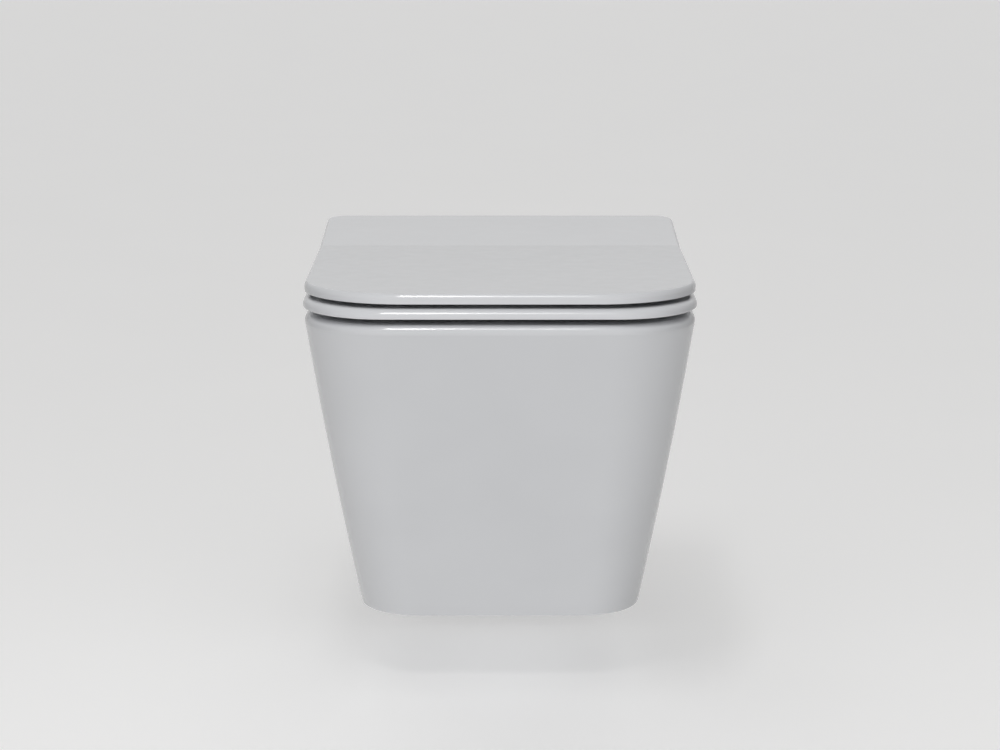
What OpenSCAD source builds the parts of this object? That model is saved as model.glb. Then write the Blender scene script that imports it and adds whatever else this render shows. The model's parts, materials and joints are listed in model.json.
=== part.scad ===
// Wall hung toilet with a slim soft-close lid and seat.
// The origin lies midway between the two wall studs, in the plane of the wall.
// X runs to the right, Y into the wall and Z up. Heights are counted from the studs.

/* [Pan] */
// Height of the rim above the wall studs
rim_h = 86; // [84:1:100]
// Depth of the underside below the wall studs
under_h = 257; // [250:1:275]
// Width of the pan at the rim
pan_w = 363.8; // [356:0.2:380]
// How far the rim stands out from the wall
pan_d = 514; // [500:1:540]
// Width of the underside
base_w = 286.4; // [270:0.2:300]
// How far the underside stands out from the wall
base_d = 245; // [240:1:265]
// Reach of the rim's front corners, across
rim_corner_x = 79; // [70:1:95]
// Reach of the rim's front corners, along
rim_corner_y = 82; // [75:1:100]
// Reach of the underside's front corners, across
base_corner_x = 58; // [50:1:70]
// Reach of the underside's front corners, along
base_corner_y = 71; // [60:1:80]
// Radius of the slight bow of every front edge
bow_r = 20000; // [5000:500:40000]
// Bulge of the side walls at half their height
side_bulge = 2; // [0:0.1:3]
// Thickness of the outer china walls
china_t = 11; // [10:0.5:13]
// Thickness of the deck and of the bottom
deck_t = 12; // [11:0.5:14]
// Rounding of the rim's outer edge
rim_round = 6; // [5:0.5:10]
// Rounding of the bottom edge
base_round = 2.5; // [1.5:0.5:4]

/* [Bowl] */
// Width of the rim beside the bowl
rim_side = 35; // [32:0.5:38]
// Width of the rim in front of the bowl
rim_front = 38; // [35:0.5:42]
// Distance from the wall to the back of the bowl
bowl_back = 170; // [166:1:176]
// Squareness of the bowl's front corners, where 2 is an ellipse
bowl_square_f = 4.4; // [3.4:0.1:5]
// Squareness of the bowl's rear corners, where 2 is an ellipse
bowl_square_r = 5; // [4:0.1:6]
// Rounding of the rim's inner edge
lip_round = 5; // [3:0.5:6]
// Height of the upright rim face above the flush shelf
lip_h = 29; // [26:1:32]
// Width of the flush shelf
shelf_w = 11; // [8:0.5:13]
// Height that the flush shelf drops by
shelf_drop = 11; // [9:0.5:13]
// Depth of the sump below the wall studs
sump_h = 150; // [146:1:152]
// Width of the sump
sump_w = 80; // [74:1:86]
// Distance from the wall to the front of the sump
sump_front = 275; // [268:1:280]
// Distance from the wall to the back of the sump
sump_back = 184; // [181:1:186]
// Thickness of the bowl's wall
bowl_t = 10; // [9:0.5:11]

/* [Trap] */
// Bore of the trapway
trap_bore = 56; // [53:1:58]
// Thickness of the trapway's wall
trap_t = 9; // [7:0.5:9]
// Distance from the wall to the middle of the down leg
throat_y = 211; // [209:1:213]
// Radius of the bend at the bottom of the trap
dip_r = 46; // [45:0.5:47]
// Depth of that bend's centre below the wall studs
dip_h = 157; // [154:1:158]
// Radius of the bend at the top of the trap
weir_r = 50; // [48:1:52]
// Depth of the outgoing pipe's middle below the wall studs
weir_h = 95; // [92:1:97]

/* [Water connections] */
// Height of the flush inlet above the wall studs
inlet_h = 35; // [34:0.5:36]
// Bore of the flush inlet
inlet_bore = 55; // [54:0.5:56]
// Wall of the flush inlet
inlet_t = 9; // [8:0.5:9.5]
// Length of the inlet's bore
inlet_len = 55; // [50:1:60]
// Bore of the flush passage behind it
flush_bore = 44; // [38:1:46]
// Depth of the waste outlet below the wall studs
outlet_h = 100; // [99:0.5:101]
// Outside diameter of the waste spigot
outlet_d = 102; // [100:0.5:104]
// Wall of the waste spigot
outlet_t = 8; // [7:0.5:9]
// Length of the waste spigot
outlet_len = 42; // [36:1:44]
// How far both connections stay back from the wall
recess = 20; // [16:1:22]
// Half width of the flush chamber
chamber_half = 46; // [42:1:48]
// Height of the two side ports above the flush shelf's foot
port_h = 10; // [8:0.5:10.5]
// Width of the two side ports
port_w = 24; // [20:1:26]

/* [Wall fixing] */
// Distance between the wall studs
stud_gap = 180; // [176:1:184]
// Hole for a wall stud
stud_hole = 12.5; // [12.2:0.1:13]
// Width of a wall block
block_w = 50; // [48:1:54]
// Depth of a wall block
block_d = 45; // [42:1:50]
// Height of a wall block
block_h = 44; // [36:1:50]
// Distance from the wall to the side screws
side_y = 28; // [26:0.5:30]
// Diameter of a side screw
side_screw_d = 10; // [8:0.5:10.5]
// Hole in the side of the pan
side_hole = 25; // [24:0.5:27]
// Diameter of a side cap
side_cap_d = 32; // [30:0.5:36]
// Thickness of a side cap
side_cap_t = 2.5; // [2:0.1:3]

/* [Seat ring] */
// Width of the seat ring
seat_w = 367.6; // [364:0.2:372]
// How far the seat ring stands out from the wall
seat_d = 517.4; // [513:0.2:520]
// Reach of the seat ring's front corners, across
seat_corner_x = 78; // [70:1:95]
// Reach of the seat ring's front corners, along
seat_corner_y = 87; // [75:1:100]
// Gap between rim and seat ring
seat_gap = 6; // [5:0.1:6.5]
// Thickness of the seat ring
seat_t = 9.4; // [9:0.1:11]
// Rounding of the seat ring's upper outer edge
seat_round = 7; // [5:0.5:7.5]
// Width of the opening in the seat ring
hole_w = 232; // [215:1:240]
// Distance from the wall to the front of that opening
hole_front = 440; // [430:1:446]
// Distance from the wall to the back of that opening
hole_back = 176; // [172:1:178]
// Distance from the wall to the back of the seat ring
seat_back = 66; // [64:0.5:68]

/* [Lid] */
// How far each side of the lid lies inside the seat ring's
lid_side_step = 1; // [0:0.1:3]
// How far the lid's front lies behind the seat ring's
lid_front_step = 2.6; // [0:0.1:5]
// Reach of the lid's front corners, across
lid_front_x = 94; // [80:1:100]
// Reach of the lid's front corners, along
lid_front_y = 92; // [80:1:105]
// Distance from the wall to the back of the lid
lid_back = 32; // [30:0.5:34]
// Gap between seat ring and lid
lid_gap = 4.2; // [3.5:0.1:4.8]
// Height of the lid's front edge
lid_edge = 9.5; // [8.5:0.1:11]
// Thickness of the lid's skin
lid_skin = 4.5; // [4:0.1:5]
// Thickness of the turned-down edge
lid_lip = 5; // [4:0.1:6]
// Rounding of the lid's upper edge
lid_round = 3.2; // [2.5:0.1:4.4]
// Distance from the wall to the crease across the lid
crease_y = 192.6; // [180:0.2:200]
// Rise of the lid from its front to the crease
front_rise = 0.8; // [0:0.1:2]
// Rounding of the lid's rear corners
lid_corner = 20; // [14:1:24]

/* [Hinges] */
// Distance between the seat holes
hinge_gap = 155; // [150:1:160]
// Distance from the wall to the seat holes
hinge_y = 83; // [82:0.5:84]
// Diameter of the seat holes
seat_hole = 15; // [14.5:0.1:16]
// Height of the hinge axis above the rim
axis_rise = 24; // [23.5:0.1:25]
// Distance from the back of the lid to the hinge axis
axis_in = 16; // [15.5:0.1:16.5]
// Gap between the hinge axis and the lid's skin
axis_room = 11.1; // [11:0.1:12]
// Diameter of the hinge pins
pin_d = 8; // [7:0.5:8.5]
// Running clearance round the hinge pins
run_gap = 0.05; // [0.03:0.01:0.08]
// Width of a hinge block
hblock_w = 29; // [27:0.5:30]
// Radius of a hinge block round its pin
head_r = 9.5; // [9:0.1:10]
// Diameter of a hinge base plate
base_plate_d = 44; // [40:0.5:46]
// Thickness of a hinge base plate
base_plate_t = 4; // [3:0.1:4.2]
// Diameter of a hinge post
post_d = 10; // [9:0.5:11]
// Diameter of the post's threaded tail
tail_d = 8; // [6:0.5:8.5]
// Length of an expansion plug
plug_len = 42; // [36:1:46]
// Diameter of a soft-close damper
damper_d = 16; // [15:0.5:16.5]
// Length of a soft-close damper
damper_len = 49; // [44:1:50]
// Travel of a release button
button_travel = 3; // [2.5:0.1:3]

/* [Hidden] */

// Counts of points along the outlines and of facets round true curves
flat_n = 2;
corner_n = 12;
back_n = 6;
oval_n = 22;
smooth = 64;

// Distance that a cut runs past a face
over = 1;

// Space kept between a moving piece and the piece that it rests on or slides by
rest_gap = 0.3;

// Colours
china = [0.93, 0.94, 0.95];
gloss_white = [0.95, 0.96, 0.97];
steel = [0.72, 0.73, 0.75];
zinc = [0.80, 0.81, 0.83];
black_nylon = [0.12, 0.12, 0.13];
grey_nylon = [0.62, 0.63, 0.65];
soft_white = [0.86, 0.87, 0.88];
rubber_black = [0.16, 0.16, 0.16];

// Lid: outline that follows the seat ring's
lid_w = seat_w - 2 * lid_side_step;
lid_d = seat_d - lid_front_step;

// Rim: the circle that rounds its outer edge, seen in section
rim_zc = rim_h - rim_round;
rim_side_c = pan_w / 2 - rim_round;
rim_front_c = pan_d - rim_round;
wall_fall = rim_zc + under_h;

// Angle from the upright at which a wall runs from the rim's rounding to the underside
function lean(top, foot) =
    atan((top - foot) / wall_fall) + asin(rim_round / norm([top - foot, wall_fall]));
side_lean = lean(rim_side_c, base_w / 2);
front_lean = lean(rim_front_c, base_d);

// Reach of the outer wall at height z: straight below, round at the rim
function reach(z, centre, angle) =
    z > rim_zc - rim_round * sin(angle)
    ? centre + sqrt(max(0, rim_round * rim_round - (z - rim_zc) * (z - rim_zc)))
    : centre + rim_round * cos(angle) - (rim_zc - rim_round * sin(angle) - z) * tan(angle);

// Reach of the straight wall alone, carried on past the rounding
function straight(z, centre, angle) =
    centre + rim_round * cos(angle) - (rim_zc - rim_round * sin(angle) - z) * tan(angle);

function mix(a, b, t) = a + (b - a) * t;
function height_share(z) = (z + under_h) / (rim_h + under_h);

// The side walls swell a little between their two ends
function bulge(z) = let (s = height_share(z)) 4 * side_bulge * s * (1 - s);
function wall_x(z) = straight(z, rim_side_c, side_lean) + bulge(z);
function wall_lean(z) = atan(tan(side_lean) + 4 * side_bulge * (1 - 2 * height_share(z)) / (rim_h + under_h));

// Front edge from the middle round the corner to the side
function front_part(half, front, cx, cy) =
    let (x0 = half - cx)
    concat(
        [for (i = [0 : flat_n - 1])
            let (x = x0 * i / flat_n)
            [x, x * x / (2 * bow_r) - front]],
        [for (i = [0 : corner_n])
            let (t = 90 * i / corner_n, x = x0 + cx * sin(t))
            [x, x * x / (2 * bow_r) - front + cy * (1 - cos(t))]]
    );

// Back edge from the side round the corner to the middle, with a faint bow
back_bow = 0.3;
function back_part(half, back, cx, cy) =
    concat(
        [for (i = [0 : back_n])
            let (t = 90 * i / back_n)
            [half - cx + cx * cos(t), -back - cy + cy * sin(t)]],
        [for (i = [1 : 2])
            [(half - cx) * (1 - i / 2), -back + back_bow * sin(45 * i)]]
    );

// Oval with its own squareness in front and behind, as a right half from the front to the back
function oval_half(half, front, back, square_f, square_r) =
    [for (i = [0 : oval_n])
        let (t = 180 * i / oval_n, p = 2 / (t < 90 ? square_f : square_r), c = cos(t))
        [i % oval_n == 0 ? 0 : half * pow(sin(t), p),
         -(front + back) / 2 - sign(c) * (front - back) / 2 * pow(abs(c), p)]];

// Closed outline from its right half, which runs from the front to the back
function both_halves(half) =
    concat(half, [for (i = [len(half) - 2 : -1 : 1]) [-half[i][0], half[i][1]]]);

function at_height(outline, z) = [for (p = outline) [p[0], p[1], z]];

// Solid through rings that are stacked from the bottom up
module loft(rings) {
    n = len(rings[0]);
    m = n / 2;
    last = (len(rings) - 1) * n;
    walls = [for (j = [0 : len(rings) - 2], i = [0 : n - 1], s = [0, 1])
        let (a = j * n + i, b = j * n + (i + 1) % n)
        s == 0 ? [a, a + n, b] : [b, a + n, b + n]];
    bottom = [for (i = [0 : m - 1])
        i == 0 ? [0, 1, n - 1]
        : i == m - 1 ? [i, m, n - i]
        : [i, i + 1, n - i - 1, n - i]];
    top = [for (f = bottom) [for (i = [len(f) - 1 : -1 : 0]) f[i] + last]];
    polyhedron(points = [for (r = rings) each r], faces = concat(bottom, walls, top), convexity = 10);
}

// Closed band through rings that follow each other round its section
module band(rings) {
    n = len(rings[0]);
    k = len(rings);
    walls = [for (j = [0 : k - 1], i = [0 : n - 1], s = [0, 1])
        let (a = j * n + i, b = j * n + (i + 1) % n,
             c = ((j + 1) % k) * n + i, d = ((j + 1) % k) * n + (i + 1) % n)
        s == 0 ? [a, c, b] : [b, c, d]];
    polyhedron(points = [for (r = rings) each r], faces = walls, convexity = 10);
}

// Cylinders along X and Y, from one place to another
module rod_x(r, from, to) {
    translate([from, 0, 0])
        rotate([0, 90, 0])
            cylinder(r = r, h = to - from, $fn = smooth);
}
module rod_y(r, from, to) {
    translate([0, from, 0])
        rotate([-90, 0, 0])
            cylinder(r = r, h = to - from, $fn = smooth);
}
module rod_z(r, from, to) {
    translate([0, 0, from])
        cylinder(r = r, h = to - from, $fn = smooth);
}
module box(low, high) {
    translate(low)
        cube(high - low);
}
module both_sides() {
    children();
    mirror([1, 0, 0])
        children();
}

// Outline of the outer wall at height z, drawn in by a wall's thickness
function pan_ring(z, side_in, front_in, side, front, back) =
    let (share = height_share(z),
         half = side - side_in + bulge(z),
         cx = mix(base_corner_x, rim_corner_x, share) - side_in,
         cy = mix(base_corner_y, rim_corner_y, share) - front_in)
    at_height(both_halves(concat(
        front_part(half, front - front_in, cx, cy),
        [[half, back], [0, back]])), z);
function outer_ring(z, inset) =
    pan_ring(z, inset, inset, reach(z, rim_side_c, side_lean), reach(z, rim_front_c, front_lean), over);
function inner_ring(z) =
    pan_ring(z, china_t / cos(side_lean), china_t / cos(front_lean),
        straight(z, rim_side_c, side_lean), straight(z, rim_front_c, front_lean), 3 * over);

wall_steps = 6;
module pan_outside() {
    foot = [for (t = [0, 30, 60])
        outer_ring(base_round * (1 - cos(t)) - under_h, base_round * (1 - sin(t)))];
    wall = [for (i = [0 : wall_steps - 1])
        outer_ring(mix(base_round - under_h, rim_zc - rim_round * sin(front_lean), i / wall_steps), 0)];
    rim = [for (t = [-front_lean, -22, -8, 8, 24, 40, 56, 72, 90])
        outer_ring(rim_zc + rim_round * sin(t), 0)];
    loft(concat(foot, wall, rim));
}

module pan_hollow() {
    loft([for (i = [0 : wall_steps])
        inner_ring(mix(deck_t - under_h, rim_h - deck_t, i / wall_steps))]);
}

// Bowl: share 0 is the foot of the flush shelf and share 1 the sump
shelf_foot = rim_h - lip_h - shelf_drop;
opening_half = pan_w / 2 - rim_side;
opening_front = pan_d - rim_front;
side_bend = 1.55;
front_bend = 1.1;
round_bend = 0.7;

function bowl_ring(z, share, grow) =
    let (w = mix(opening_half - shelf_w, sump_w / 2, pow(share, side_bend)) + grow,
         front = mix(opening_front - shelf_w - shelf_drop * tan(front_lean), sump_front,
             pow(share, front_bend)) + grow,
         back = mix(bowl_back + shelf_w, sump_back, share) - grow,
         roundness = pow(share, round_bend))
    at_height(both_halves(oval_half(w, front, back,
        mix(bowl_square_f, 2, roundness), mix(bowl_square_r, 2, roundness))), z);

// Ring in the upright part of the bowl, inset from the opening in the rim
function lip_ring(z, grow) =
    at_height(both_halves(oval_half(opening_half + grow, opening_front + grow, bowl_back - grow,
        bowl_square_f, bowl_square_r)), z);

// Ring in the bottom of the sump, where it narrows to the trapway
throat_ledge = 2;
throat_half = trap_bore / 2 + throat_ledge;
function throat_ring(z, grow) =
    let (w = throat_half + grow)
    at_height(both_halves(oval_half(w, throat_y + w, throat_y - w, 2, 2)), z);

// Height of a ring in the bowl below the shelf
function bowl_z(share) = mix(shelf_foot, -sump_h, share);
bowl_steps = 7;
floor_t = dip_h - sump_h - over;

module bowl_inside() {
    throat = [throat_ring(-sump_h - floor_t / 2, 0)];
    bowl = [for (i = [bowl_steps : -1 : 0])
        bowl_ring(bowl_z(i / bowl_steps), i / bowl_steps, 0)];
    shelf = [for (s = [0.35, 0.7])
        lip_ring(shelf_foot + shelf_drop * s, -shelf_w * (1 - s) * (1 - s))];
    lip = [for (t = [90, 60, 30, 0])
        lip_ring(rim_h - lip_round * (1 - cos(t)), lip_round * (1 - sin(t)))];
    loft(concat(throat, bowl, shelf, [lip_ring(rim_h - lip_h, 0)], lip, [lip_ring(rim_h + over, lip_round)]));
}

module bowl_outside() {
    throat = [throat_ring(-dip_h, trap_t - throat_ledge)];
    bowl = [for (i = [bowl_steps : -1 : 0])
        bowl_ring(bowl_z(i / bowl_steps) - floor_t, i / bowl_steps, bowl_t)];
    loft(concat(throat, bowl, [lip_ring(rim_h - lip_h, bowl_t), lip_ring(rim_h - deck_t / 2, bowl_t)]));
}

// Trapway of a given radius, from under the sump round the dip, over the weir and out
up_leg_y = throat_y - 2 * dip_r;
weir_zc = -weir_h - weir_r;
module trap_way(r) {
    translate([0, dip_r - throat_y, -dip_h])
        rotate([90, 0, 90])
            rotate([0, 0, 180])
                rotate_extrude(angle = 180, $fn = smooth)
                    translate([dip_r, 0])
                        circle(r = r, $fn = smooth);
    translate([0, -up_leg_y, 0])
        rod_z(r, -dip_h, weir_zc);
    translate([0, weir_r - up_leg_y, weir_zc])
        rotate([90, 0, 90])
            rotate([0, 0, 90])
                rotate_extrude(angle = 90, $fn = smooth)
                    translate([weir_r, 0])
                        circle(r = r, $fn = smooth);
    translate([0, 0, -weir_h])
        rod_y(r, weir_r - up_leg_y, -recess - outlet_len);
}

// Flush chamber behind the bowl
chamber_back = bowl_back - bowl_t - 32;
chamber_front = bowl_back - bowl_t;
chamber_low = shelf_foot - 27;
chamber_high = shelf_foot + port_h + 3;

// The pan is one piece of china, made up of four casts that are joined before it is fired:
// the outer walls with the rim, the bowl with its flush chamber, the trapway and the flush inlet
module pan() color(china) {
    difference() {
        pan_outside();
        pan_hollow();
        bowl_inside();
        both_sides() {
            translate([hinge_gap / 2, -hinge_y, 0])
                rod_z(seat_hole / 2, rim_h - 2 * deck_t, rim_h + over);
            translate([0, -side_y, 0])
                rod_x(side_hole / 2, pan_w / 2 - 4 * china_t, pan_w / 2 + over);
        }
        box([-pan_w, 0, -under_h - over], [pan_w, 2 * over, rim_h + over]);
    }
}

module bowl() color(china) {
    difference() {
        intersection() {
            pan_hollow();
            union() {
                bowl_outside();
                translate([0, 0, inlet_h])
                    rod_y(inlet_bore / 2 + inlet_t, -chamber_front, -recess - inlet_len);
                box([-chamber_half - bowl_t, -chamber_front - bowl_t / 2, chamber_low - bowl_t],
                    [chamber_half + bowl_t, -chamber_back + bowl_t, rim_h - deck_t / 2]);
            }
        }
        bowl_inside();
        translate([0, -throat_y, 0])
            rod_z(trap_bore / 2, -dip_h - over, -sump_h);
        translate([0, 0, inlet_h])
            rod_y(flush_bore / 2, -chamber_back - over, -recess - inlet_len + over);
        box([-chamber_half, -chamber_front, chamber_low],
            [chamber_half, -chamber_back, chamber_high]);
        both_sides()
            box([chamber_half - port_w, -bowl_back - bowl_t, shelf_foot],
                [chamber_half, -chamber_front + over, shelf_foot + port_h]);
        box([-port_w / 2, -bowl_back - 2 * bowl_t, chamber_low],
            [port_w / 2, -chamber_front + over, chamber_low + port_h]);
    }
}

module trapway() color(china) {
    difference() {
        union() {
            trap_way(trap_bore / 2 + trap_t);
            translate([0, 0, -outlet_h])
                rod_y(outlet_d / 2, -recess - outlet_len - outlet_t, -recess);
        }
        trap_way(trap_bore / 2);
        translate([0, 0, -outlet_h])
            rod_y(outlet_d / 2 - outlet_t, -recess - outlet_len, over);
    }
}

// Takes the flush pipe, from the chamber's neck towards the wall
module inlet_tube() color(china) {
    translate([0, 0, inlet_h])
        difference() {
            rod_y(inlet_bore / 2 + inlet_t, -recess - inlet_len, -recess);
            rod_y(inlet_bore / 2, -recess - inlet_len - over, over);
        }
}

// Wall fixing: a block on each wall stud, reached by a screw through the side of the pan
screw_tip = stud_gap / 2 + stud_hole / 2 + 5;
bore_side = wall_x(0) - china_t / cos(side_lean);
bush_in = bore_side - 3;
bush_out = bore_side + china_t - 2;
bush_flange = 3;
head_d = 16;
head_t = 5;
head_in = bush_in + bush_flange + 2;
washer_t = 2.5;
washer_d = 30;
nut_d = 21.5;
nut_t = 10;
fit_gap = 0.2;
hexagon = 6;
block_rib = 4;

module wall_blocks() color(black_nylon) {
    both_sides()
        translate([stud_gap / 2, 0, 0])
            difference() {
                box([-block_w / 2, -block_d, -block_h / 2], [block_w / 2, 0, block_h / 2]);
                rod_y(stud_hole / 2, -block_d - over, over);
                translate([0, -side_y, 0])
                    rod_x(side_screw_d / 2, screw_tip - stud_gap / 2, block_w / 2 + over);
                // Pockets that leave ribs round the two bores
                for (up = [0, 1])
                    mirror([0, 0, up])
                        box([-block_w / 2 + block_rib, -block_d - over, stud_hole / 2 + block_rib],
                            [block_w / 2 - block_rib, -2 * block_rib, block_h / 2 - block_rib]);
            }
}

module stud_washers() color(steel) {
    both_sides()
        translate([stud_gap / 2, -block_d, 0])
            difference() {
                rod_y(washer_d / 2, -washer_t, 0);
                rod_y(stud_hole / 2, -washer_t - over, over);
            }
}

module stud_nuts() color(steel) {
    both_sides()
        translate([stud_gap / 2, -block_d - washer_t, 0])
            difference() {
                rotate([90, 0, 0])
                    cylinder(d = nut_d, h = nut_t, $fn = hexagon);
                rod_y(stud_hole / 2, -nut_t - over, over);
            }
}

module side_screws() color(steel) {
    both_sides()
        translate([0, -side_y, 0])
            difference() {
                union() {
                    rod_x(side_screw_d / 2, screw_tip, head_in + over);
                    rod_x(head_d / 2, head_in, head_in + head_t);
                }
                translate([head_in + 1, 0, 0])
                    rotate([0, 90, 0])
                        cylinder(d = head_d / 2, h = head_t, $fn = hexagon);
            }
}

module side_bushes() color(grey_nylon) {
    both_sides()
        translate([0, -side_y, 0])
            difference() {
                union() {
                    rod_x(side_hole / 2 - fit_gap, bush_in, bush_out);
                    rod_x(side_hole / 2 + 3, bush_in - bush_flange, bush_in + 1);
                }
                rod_x(side_screw_d / 2 + fit_gap, bush_in - bush_flange - over, head_in);
                rod_x(head_d / 2 + fit_gap, head_in, bush_out + over);
            }
}

// Cover over a side hole: a disc that lies on the slanting wall, with a spigot in the bush
cap_foot = wall_x(0);
module side_caps() color(gloss_white) {
    both_sides()
        translate([cap_foot, -side_y, 0])
            union() {
                rotate([0, wall_lean(0), 0])
                    difference() {
                        rod_x(side_cap_d / 2, fit_gap, side_cap_t);
                        translate([side_cap_t, 0, 0])
                            rotate([0, 90, 0])
                                rotate_extrude($fn = smooth)
                                    translate([side_cap_d / 2, 0])
                                        circle(r = 1, $fn = smooth);
                    }
                rod_x(head_d / 2 - fit_gap, head_in + head_t + fit_gap - cap_foot, side_cap_t / 2);
            }
}

// Heights of the seat ring and of the lid
seat_low = rim_h + seat_gap;
seat_top = seat_low + seat_t;
lid_low = seat_top + lid_gap;
lid_front_top = lid_low + lid_edge;
crease_top = lid_front_top + front_rise;
axis_y = lid_back + axis_in;
axis_h = rim_h + axis_rise;
rear_slope = (axis_h + axis_room + lid_skin - crease_top) / (crease_y - axis_y);
front_slope = front_rise / (lid_d - crease_y);
crease_soft = 10;

// Height of the lid's upper face at y, with the crease softened
function lid_top(y) =
    let (u = y + crease_y, bend = crease_soft / 2)
    u < -bend ? crease_top + u * front_slope
    : u > bend ? crease_top + u * rear_slope
    : crease_top + u * front_slope + (rear_slope - front_slope) * (u + bend) * (u + bend) / (4 * bend);

// Height of the lid's lower edge at y: level, and running up at the back
lip_run = 42;
lip_end = 2.5;
function lid_foot(y) =
    let (t = max(0, min(1, (y + lid_back + lip_run) / (lip_run - lid_corner / 2))))
    mix(lid_low, lid_top(-lid_back) - lid_skin - lip_end, t * t * (3 - 2 * t));

// Outline of the lid, drawn in by a given distance
side_stops = 6;
function lid_half(inset) =
    let (half = lid_w / 2 - inset,
         front = front_part(half, lid_d - inset, lid_front_x - inset, lid_front_y - inset),
         y0 = front[len(front) - 1][1],
         corner = lid_corner - inset)
    concat(front,
        [for (i = [1 : side_stops]) [half, mix(y0, -crease_y - crease_soft / 2, i / side_stops)]],
        [for (i = [1 : 2]) [half, -crease_y - crease_soft / 2 + i * crease_soft / 2]],
        [for (i = [1 : side_stops - 1])
            [half, mix(-crease_y + crease_soft / 2, -lid_back - lid_corner, i / side_stops)]],
        back_part(half, lid_back + inset, corner, corner));
function lid_ring(inset, share, rise) =
    [for (p = both_halves(lid_half(inset))) [p[0], p[1], mix(lid_foot(p[1]), lid_top(p[1]), share) + rise]];

// Lugs on the hinge axis: their places along X, counted from the middle
hblock_in = hinge_gap / 2 - hblock_w / 2;
hblock_out = hinge_gap / 2 + hblock_w / 2;
lug_gap = 3;
lug_w = 20;
lug_in = hblock_out + lug_gap;
lug_out = lug_in + lug_w;
lug_r = 9;
bush_r = pin_d / 2 + 2;
damper_out = hblock_in - lug_gap;
damper_in = damper_out - damper_len;
cradle_r = damper_d / 2 + 2.5;
cradle_in = damper_in - 2;
cradle_gap = 2;

// Webs that carry the lugs and cradles: half depth under the lid, and height below and above the axis
web_r = 7.35;
web_low = 7.2;
web_high = 6.3;

module at_axis() {
    translate([0, -axis_y, axis_h])
        children();
}

module lid() color(gloss_white) {
    edge = 0.8;
    difference() {
        union() {
            loft(concat(
                [lid_ring(lid_lip + 1, 1, -lid_skin), lid_ring(lid_lip, 1, -lid_skin - 1)],
                [lid_ring(lid_lip, 0, edge), lid_ring(lid_lip - edge, 0, 0)],
                [lid_ring(edge, 0, 0), lid_ring(0, 0, edge)],
                [for (t = [0, 25, 50, 70, 90])
                    lid_ring(lid_round * (1 - cos(t)), 1, -lid_round * (1 - sin(t)))]));
            at_axis() {
                rod_x(lug_r, lug_in, lug_out);
                box([lug_in, -lug_r, 0], [lug_out, lug_r, axis_room + lid_skin / 2]);
                rod_x(cradle_r, -damper_out, -cradle_in);
                box([-damper_out, -web_r, 0], [-cradle_in, web_r, axis_room + lid_skin / 2]);
            }
        }
        at_axis() {
            rod_x(bush_r, lug_in - over, lug_out + over);
            rod_x(damper_d / 2, -damper_out - over, -damper_in);
        }
    }
}

module lid_bush() color(grey_nylon) {
    at_axis()
        difference() {
            rod_x(bush_r, lug_in, lug_out);
            rod_x(pin_d / 2 + run_gap, lug_in - over, lug_out + over);
        }
}
module seat_bush() color(grey_nylon) {
    mirror([1, 0, 0])
        lid_bush();
}

// Seat ring: outer and inner outline, with as many points each
function seat_outer(inset) =
    let (half = seat_w / 2 - inset,
         front = front_part(half, seat_d - inset, seat_corner_x - inset, seat_corner_y - inset),
         corner = 24 - inset)
    both_halves(concat(front, back_part(half, seat_back + inset, corner, corner)));
hole_square_f = 3;
hole_square_r = 3.6;
function seat_inner(inset) =
    let (count = flat_n + corner_n + back_n + 3, half = hole_w / 2 + inset,
         front = hole_front + inset, back = hole_back - inset)
    both_halves([for (i = [0 : count])
        let (t = 180 * i / count, p = 2 / (t < 90 ? hole_square_f : hole_square_r), c = cos(t))
        [i % count == 0 ? 0 : half * pow(sin(t), p),
         -(front + back) / 2 - sign(c) * (front - back) / 2 * pow(abs(c), p)]]);

hump_front = hole_back - 8;
hump_steps = 8;
hump_gap = 2;
hump_side = 14;
notch_gap = 1.5;
hblock_front = hinge_y + 18;
hblock_back = hinge_y - 12;
notch_front = hblock_front + 3;

// Height of the raised back of the seat at a share of the way from its front to its back
function hump_z(share) =
    let (y = mix(-hump_front, -seat_back, share), s = min(1, share * 2.2))
    mix(seat_top, lid_top(y) - lid_skin - hump_gap, s * s * (3 - 2 * s));

module seat_hump() {
    intersection() {
        rotate([90, 0, 90])
            linear_extrude(height = seat_w, center = true)
                polygon(concat(
                    [[-seat_back, seat_low + over], [-hump_front, seat_low + over]],
                    [for (i = [0 : hump_steps])
                        let (s = i / hump_steps)
                        [mix(-hump_front, -seat_back, s), hump_z(s)]]));
        translate([0, hump_side - over, seat_low])
            linear_extrude(height = 4 * axis_rise)
                polygon(seat_outer(hump_side));
    }
}

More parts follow.
